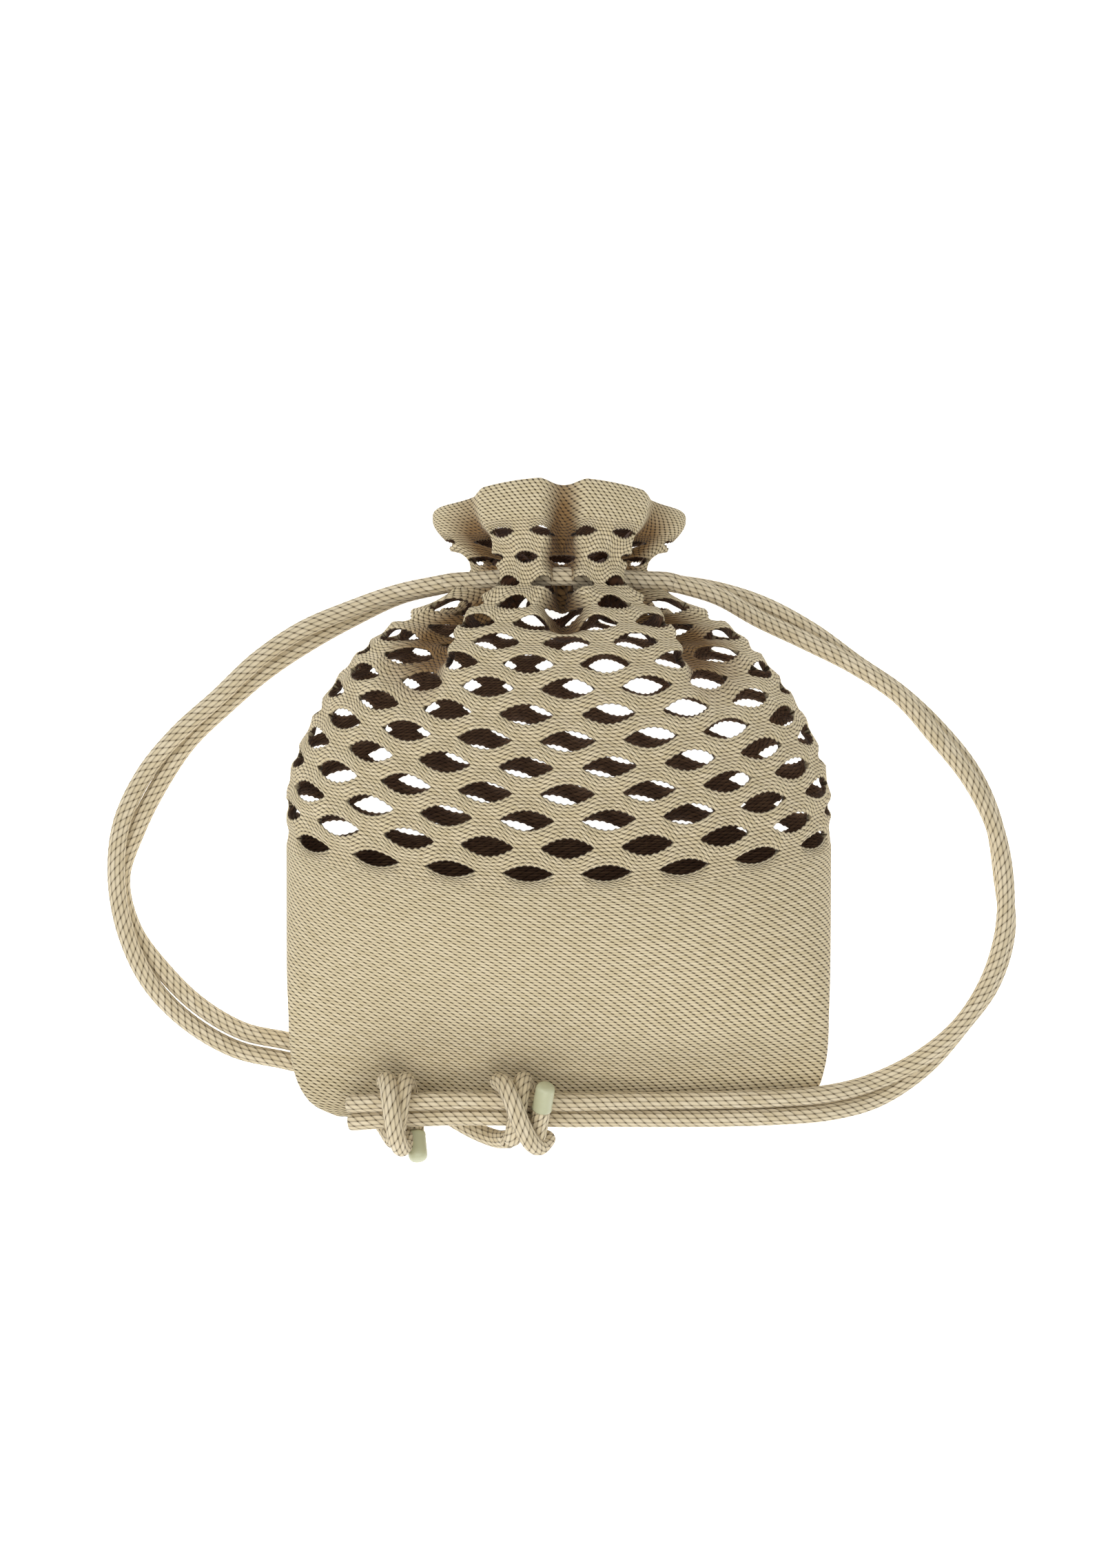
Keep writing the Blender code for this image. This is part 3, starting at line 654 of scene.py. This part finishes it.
def valley_depth(column, row):
    """How far the gathers draw the knit inward at a place on it."""
    depth = 0.0
    opening = smooth_step((row - NECK_ROW) / (RIM_ROW - NECK_ROW))
    for first, last, start, full, neck, rim, inner, outer in VALLEYS:
        middle = first + (last - first) * smooth_step((row - start) / (NECK_ROW - start))
        away = (column - middle + COLUMNS / 2) % COLUMNS - COLUMNS / 2
        reach = np.where(away * (-1 if first < 0 else 1) < 0, inner, outer)
        shape = 0.5 + 0.5 * np.cos(math.pi * np.minimum(np.abs(away) / reach, 1))
        closing = smooth_step((row - start) / (full - start))
        depth = depth + shape * closing * (neck + opening * (rim - neck)) * BAG_DEPTH
    return depth


def section_loop(row, columns):
    """x, z and inward direction on one section, spaced evenly along the knit."""
    half = section_value(HALF_WIDTH, row) * BAG_WIDTH / 2
    top = section_value(TOP, row) * BAG_DEPTH
    widest = section_value(WIDEST, row) * BAG_DEPTH
    under = max(section_value(UNDER, row), 0.0) * BAG_DEPTH
    square = section_value(SQUARE, row)
    turn = np.linspace(-math.pi / 2, math.pi / 2, ARC_STEPS + 1)
    front_x = half * np.sin(turn)
    front_z = widest + (top - widest) * np.cos(turn)
    drop = (widest - under) * BACK_BULGE
    back_x = half * np.sign(np.sin(turn)) * np.abs(np.sin(turn)) ** (2 / square)
    back_z = np.maximum(widest - drop * np.abs(np.cos(turn)) ** (2 / square), under)
    x = np.concatenate([front_x, -back_x[1:]])
    z = np.concatenate([front_z, back_z[1:]])
    length = distances(np.stack([x, z], axis=1))
    middle = length[ARC_STEPS]
    place = (np.asarray(columns) + COLUMNS / 4) % COLUMNS
    half_columns = COLUMNS / 2
    along = np.where(place < half_columns, place / half_columns * middle,
                     middle + (place - half_columns) / half_columns * (length[-1] - middle))
    # The direction is read over a four-hundredth of the loop to each side
    step = length[-1] / 400
    ahead = (along + step) % length[-1]
    behind = (along - step) % length[-1]
    dx = np.interp(ahead, length, x) - np.interp(behind, length, x)
    dz = np.interp(ahead, length, z) - np.interp(behind, length, z)
    size = np.hypot(dx, dz)
    return np.interp(along, length, x), np.interp(along, length, z), dz / size, -dx / size


def knit_grid():
    """Points of the knit's outer surface and the directions it faces, over the fine grid."""
    points = np.zeros((len(GRID_ROWS), len(GRID_COLUMNS), 3))
    even = GRID_COLUMNS + PATTERN_SHIFT
    aside = np.abs(GRID_COLUMNS)
    cord = np.array(FRONT_DRAWSTRING)
    for index, row in enumerate(GRID_ROWS):
        crowding = smooth_curve(*zip(*FRONT_CROWDING), row)
        place = even - crowding * np.sin(2 * math.pi * even / COLUMNS)
        facing = np.cos(2 * math.pi * place / COLUMNS)
        x, z, in_x, in_z = section_loop(row, place)
        depth = valley_depth(GRID_COLUMNS, row)
        front = section_value(FRONT, row) * BAG_LENGTH
        side = section_value(SIDE, row) * BAG_LENGTH
        opening = smooth_step((row - NECK_ROW) / (RIM_ROW - NECK_ROW))
        dip = RIM_DIP * opening + NECK_DIP * rise_and_fall(row, *NECK_DIP_ROWS)
        y = side + (front - side) * np.maximum(facing, 0) - dip * depth
        x = x + depth * in_x
        z = z + depth * in_z
        # The knit passes over the drawstring outside the middle crease
        away = y - np.interp(x, cord[:, 0], cord[:, 1])
        cover = np.interp(x, cord[:, 0], cord[:, 2]) + COVER_HEIGHT - away ** 2 / COVER_SPREAD
        lift = np.maximum(cover - z, 0) * rise_and_fall(aside, *COVER_COLUMNS)
        points[index] = np.stack([x, y, z + lift], axis=-1)
    padded = np.concatenate([points[:, -2:-1], points, points[:, 1:2]], axis=1)
    normals = np.cross(padded[:, 2:] - padded[:, :-2], np.gradient(points, axis=0))
    normals /= np.maximum(np.linalg.norm(normals, axis=-1, keepdims=True), 1e-12)
    return points, normals


def read_grid(grid, rows, columns):
    """Values of a grid between its points."""
    i = (rows - GRID_ROWS[0]) / (GRID_ROWS[1] - GRID_ROWS[0])
    i = np.clip(i, 0, len(GRID_ROWS) - 1.001)
    j = ((columns + COLUMNS / 2) % COLUMNS) * GRID_STEP
    j = np.clip(j, 0, len(GRID_COLUMNS) - 1.001)
    low_i = i.astype(int)
    low_j = j.astype(int)
    u = (i - low_i)[..., None]
    v = (j - low_j)[..., None]
    return ((grid[low_i, low_j] * (1 - u) + grid[low_i + 1, low_j] * u) * (1 - v)
            + (grid[low_i, low_j + 1] * (1 - u) + grid[low_i + 1, low_j + 1] * u) * v)


def edge_rows(gap, side, columns):
    """The rows of a gap row's lower or upper edge, and how open it is there, from 0 to 1."""
    centre = 0.5 if gap % 2 == 0 else 0.0
    away = (columns - centre + 0.5) % 1.0 - 0.5
    share = np.abs(away) / (GAP_LENGTHS[gap] / 2)
    opening = np.clip(1 - share ** GAP_ROUNDNESS, 0, 1)
    between_stitches = np.abs((columns * NET_STITCHES + 0.5) % 1.0 - 0.5) < NOTCH_REACH
    scallop = np.where(between_stitches, 1.0, -0.5) * np.minimum(opening * 4, 1)
    reach = opening * GAP_HEIGHTS[gap] / 2 - SCALLOP * scallop
    return gap + side * np.maximum(reach, 0) * (opening > 0), opening


def rib_swell(rows, columns):
    """How far the net stands out: its crossings are proud and the ends of its gaps are sunk."""
    swell = -rise_and_fall(rows, *RIB_ROWS) * np.cos(2 * math.pi * columns) * np.cos(math.pi * rows)
    start, full = NECK_LUMP_ROWS
    gathered = smooth_step((rows - start) / (full - start))
    return swell + NECK_LUMPS * gathered * np.maximum(swell, 0)


def bag_lines():
    """The lines of points up the knit."""
    lines = [Line(row, None, 0, 0.0, BODY_END_STITCH + (row + 1) * STITCHES_PER_ROW)
             for row in BODY_ROWS]
    lines.append(Line(NET_START, None, 0, 0.0, NET_START_STITCH))
    for gap in range(GAP_ROWS):
        lines.append(Line(gap, gap, -1, 0.0, STITCHES_PER_WEB * gap))
        lines.append(Line(gap, gap, 1, 0.0, STITCHES_PER_WEB * gap))
        if gap < GAP_ROWS - 1:
            lines += [Line(gap, None, 1, share, STITCHES_PER_WEB * (gap + share))
                      for share in WEB_SHARES]
    top = GAP_ROWS - 1
    lines += [Line(row, None, 0, 0.0, STITCHES_PER_WEB * top + (row - top) * STITCHES_PER_ROW)
              for row in FRILL_ROWS]
    return lines


def line_rows(line, columns):
    """The row of each point of a line, and how far the knit is rounded off there, from 0 to 1."""
    if line.gap is not None:
        rows, opening = edge_rows(line.gap, line.side, columns)
        return rows, np.minimum(opening * ROUNDED_OPENING, 1.0)
    if line.side == 1:
        low, low_open = edge_rows(line.row, 1, columns)
        high, high_open = edge_rows(line.row + 1, -1, columns)
        opening = low_open if line.share < 0.5 else high_open
        shoulder = 0.0 if line.share == 0.5 else EDGE_SHOULDER
        rounding = np.minimum(opening * ROUNDED_OPENING, 1.0) * shoulder
        return low + (high - low) * line.share, rounding
    rounding = {RIM_ROW: RIM_ROUNDING, RIM_SHOULDER_ROW: RIM_SHOULDER}.get(line.row, 0.0)
    return np.full(len(columns), float(line.row)), np.full(len(columns), rounding)


def bag_points(columns):
    """The bag's vertices, stitch places and painted crease shade, and the rings of its outer and inner
    face.
    """
    grid, normals = knit_grid()
    vertices = []
    places = []
    painted_crease_shading = []
    layers = ([], [])
    for line in bag_lines():
        rows, rounding = line_rows(line, columns)
        normal = read_grid(normals, rows, columns)
        normal /= np.linalg.norm(normal, axis=-1, keepdims=True)
        point = read_grid(grid, rows, columns)
        point = point + (rib_swell(rows, columns) * RIB_SWELL)[:, None] * normal
        depth = valley_depth(columns, rows) / BAG_DEPTH
        full = np.where(rows > NECK_ROW, CREASE_SHADE_ABOVE_NECK, CREASE_SHADE_BELOW_NECK)
        for layer, rings in enumerate(layers):
            coarse = line.share not in (0.0, 0.5) or (line.gap is None and line.row < INNER_START)
            if layer == 1 and coarse:
                continue
            inset = KNIT_WALL * layer + rounding * EDGE_ROUNDING * (1 - 2 * layer)
            rings.append(Ring(len(vertices) * len(columns), line, rows))
            vertices.append(point - inset[:, None] * normal)
            places.append(np.stack([columns, np.full(len(columns), float(line.stitch))], axis=-1))
            # Painted shade in the gathers, growing with how deep the knit lies there
            painted_crease_shading.append(np.clip((depth - CREASE_SHADE_START) / full, 0, 1))
    return np.concatenate(vertices), np.concatenate(places), np.concatenate(painted_crease_shading), layers


def layer_faces(rings, count):
    """One face of the knit: bands of quads from ring to ring, apart from the gaps' own rows.

    Each has its corners and whether it is in plain knit.
    """
    faces = []
    for low, high in zip(rings, rings[1:]):
        if low.line.gap is not None and low.line.gap == high.line.gap:
            continue
        in_body = low.line.row < 0 and low.line.side == 0 and low.line.gap is None
        step = BODY_STEP if in_body else 1
        fine_top = in_body and high.line.gap is not None
        plain = low.line.row < NET_START or low.line.row >= NET_END
        for i in range(0, count, step):
            tops = range(step, -1, -1) if fine_top else (step, 0)
            face = [low.start + i, low.start + (i + step) % count]
            face += [high.start + (i + k) % count for k in tops]
            faces.append((face, plain))
    # The bottom edge is closed from front to back
    start = rings[0].start
    for j in range(0, count // 2, BODY_STEP):
        corners = [start + (count // 4 + k) % count
                   for k in (j, j + BODY_STEP, -j - BODY_STEP, -j)]
        faces.append((list(dict.fromkeys(corners))[::-1], True))
    return faces


def bag_faces(layers, count, total):
    """The bag's faces: corners, whether it is on the inner side and whether it is in plain knit."""
    merge = np.arange(total)
    edges = ({}, {})
    open_columns = {}
    for rings, starts in zip(layers, edges):
        for low, high in zip(rings, rings[1:]):
            if low.line.gap is None or low.line.gap != high.line.gap:
                continue
            closed = np.abs(low.rows - high.rows) < 1e-9
            merge[high.start:high.start + count][closed] = low.start + np.nonzero(closed)[0]
            open_columns[low.line.gap] = ~closed
            starts[low.line.gap] = (low.start, high.start)
    faces = []
    for layer, rings in enumerate(layers):
        for face, plain in layer_faces(rings, count):
            faces.append((face[::-1] if layer == 1 else face, layer, plain))
    # The edges of the gaps, and the rim
    outer, inner = edges
    for gap, is_open in open_columns.items():
        for i in range(count):
            j = (i + 1) % count
            if is_open[i] or is_open[j]:
                for side in (0, 1):
                    a = outer[gap][side]
                    b = inner[gap][side]
                    face = [a + i, a + j, b + j, b + i]
                    faces.append((face[::-1] if side == 1 else face, 0, False))
    a = layers[0][-1].start
    b = layers[1][-1].start
    for i in range(count):
        j = (i + 1) % count
        faces.append(([a + i, a + j, b + j, b + i], 0, True))
    return [(list(dict.fromkeys(int(merge[v]) for v in face)), layer, plain)
            for face, layer, plain in faces]


def make_bag():
    """The knit bag as one mesh: outer face, inner face, gap edges and rim."""
    count = COLUMNS * NET_SAMPLES
    columns = np.arange(count) / NET_SAMPLES - COLUMNS / 2
    vertices, places, painted_crease_shading, layers = bag_points(columns)
    faces, inside, plains = zip(*bag_faces(layers, count, len(vertices)))
    used = np.zeros(len(vertices), bool)
    for face in faces:
        used[face] = True
    number = np.cumsum(used) - 1
    faces = [[int(number[v]) for v in face] for face in faces]
    piece = new_piece("knit_bag_knit", vertices[used], faces, [cream_knit, brown_knit, net_knit])
    mesh = piece.data
    slots = np.where(np.array(inside) == 1, 1, np.where(plains, 0, 2))
    mesh.polygons.foreach_set("material_index", slots.astype(np.int32))
    # Columns run on past the seam at the back, and each kind of knit has its own stitches
    spots = places[used][corner_vertices(mesh)]
    starts = np.empty(len(faces), dtype=np.int32)
    sizes = np.empty(len(faces), dtype=np.int32)
    mesh.polygons.foreach_get("loop_start", starts)
    mesh.polygons.foreach_get("loop_total", sizes)
    first = np.repeat(spots[starts, 0], sizes)
    spots[:, 0] -= np.round((spots[:, 0] - first) / COLUMNS) * COLUMNS
    plain = np.repeat(np.array(plains), sizes)
    stitches = np.where(plain, PLAIN_STITCHES, NET_STITCHES)
    lean = np.where(plain, PLAIN_LEAN, NET_LEAN)
    spots[:, 0] = spots[:, 0] * stitches + lean * spots[:, 1]
    set_looks(mesh, spots, painted_crease_shading[used])
    return piece


def make_floor():
    """The plain white surface. It glows a little, as a light table does."""
    mesh = bpy.data.meshes.new("floor")
    reach = FLOOR_REACH
    mesh.from_pydata([(-reach, -reach, 0), (reach, -reach, 0), (reach, reach, 0), (-reach, reach, 0)],
                     [], [(0, 1, 2, 3)])
    floor = bpy.data.objects.new("floor", mesh)
    bpy.context.scene.collection.objects.link(floor)
    material = bpy.data.materials.new("white_surface")
    material.use_nodes = True
    shader = material.node_tree.nodes["Principled BSDF"]
    shader.inputs["Base Color"].default_value = colour("#F4F4F2")
    shader.inputs["Roughness"].default_value = 0.9
    shader.inputs["Emission Color"].default_value = (1.0, 1.0, 1.0, 1.0)
    shader.inputs["Emission Strength"].default_value = 0.85
    mesh.materials.append(material)
    return floor


def add_light(name, place, size, power, tone):
    """A square area light that faces the bag."""
    data = bpy.data.lights.new(name, "AREA")
    data.size = size
    data.energy = power
    data.color = colour(tone)[:3]
    light = bpy.data.objects.new(name, data)
    light.location = place
    light.rotation_euler = (-Vector(place)).to_track_quat("-Z", "Y").to_euler()
    bpy.context.scene.collection.objects.link(light)


# The camera, straight above
camera_data = bpy.data.cameras.new("camera")
camera_data.lens = CAMERA_LENS
camera_data.sensor_fit = "VERTICAL"
camera_data.sensor_height = CAMERA_SENSOR
camera = bpy.data.objects.new("camera", camera_data)
camera.location = CAMERA_PLACE
bpy.context.scene.collection.objects.link(camera)
bpy.context.scene.camera = camera

# The cords
right = pair_strands(RIGHT_PAIR)
left = []
for strand, end in zip(pair_strands(LEFT_PAIR), LEFT_ENDS):
    close = resample([strand[-1]] + list(end), CLOSE_POINT_SPACING)
    left.append(strand + [tuple(point) for point in close[1:]])

knotted = []
for number, (knot, turn) in enumerate(zip(KNOTS, KNOT_TURNS), 1):
    path = knot_path(knot, right)
    winding = make_cord("knot_%d_knit" % number, path)[0]
    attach(winding, "root")
    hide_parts("knot_%d" % number)
    tip = make_aglet("aglet_%d_tip" % number, path)
    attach(tip, "root")
    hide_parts("aglet_%d" % number)
    crossing = make_cord("knot_%d_turn" % number, knot_path(turn, right))[0]
    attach(crossing, "root")
    knotted.append([winding, crossing, tip])

for name, path, far_end, extra in (
        ("right_strand_1", right[0], "bare", []),
        ("right_strand_2", right[1], "bare", []),
        ("left_strand_1", left[0], "knot", knotted[1]),
        ("left_strand_2", left[1], "knot", knotted[0])):
    piece, line = make_cord(name + "_knit", path, (False, far_end == "bare"))
    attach(piece, "root")
    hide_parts(name)

for name, stretch, start, end in (
        ("front_drawstring", FRONT_DRAWSTRING, left[0][0], right[0][0]),
        ("back_drawstring", BACK_DRAWSTRING, left[1][0], right[1][0])):
    piece = make_cord(name + "_knit", [start, *stretch, end], (False, False))[0]
    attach(piece, "root")
    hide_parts(name)

bag = make_bag()
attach(bag, "root")
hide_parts("knit_bag")

# The surface, and soft light from above
make_floor()
add_light("key_light", (-0.80, 0.20, 1.20), 0.8, 5.5, "#FFFFFF")
add_light("fill_light", (0.10, -0.70, 1.25), 1.2, 8.5, "#FFFDF8")
world = bpy.data.worlds.new("studio")
world.use_nodes = True
world.node_tree.nodes["Background"].inputs["Color"].default_value = colour("#F6F7F8")
world.node_tree.nodes["Background"].inputs["Strength"].default_value = 0.55
bpy.context.scene.world = world
bpy.context.scene.view_settings.view_transform = "Standard"
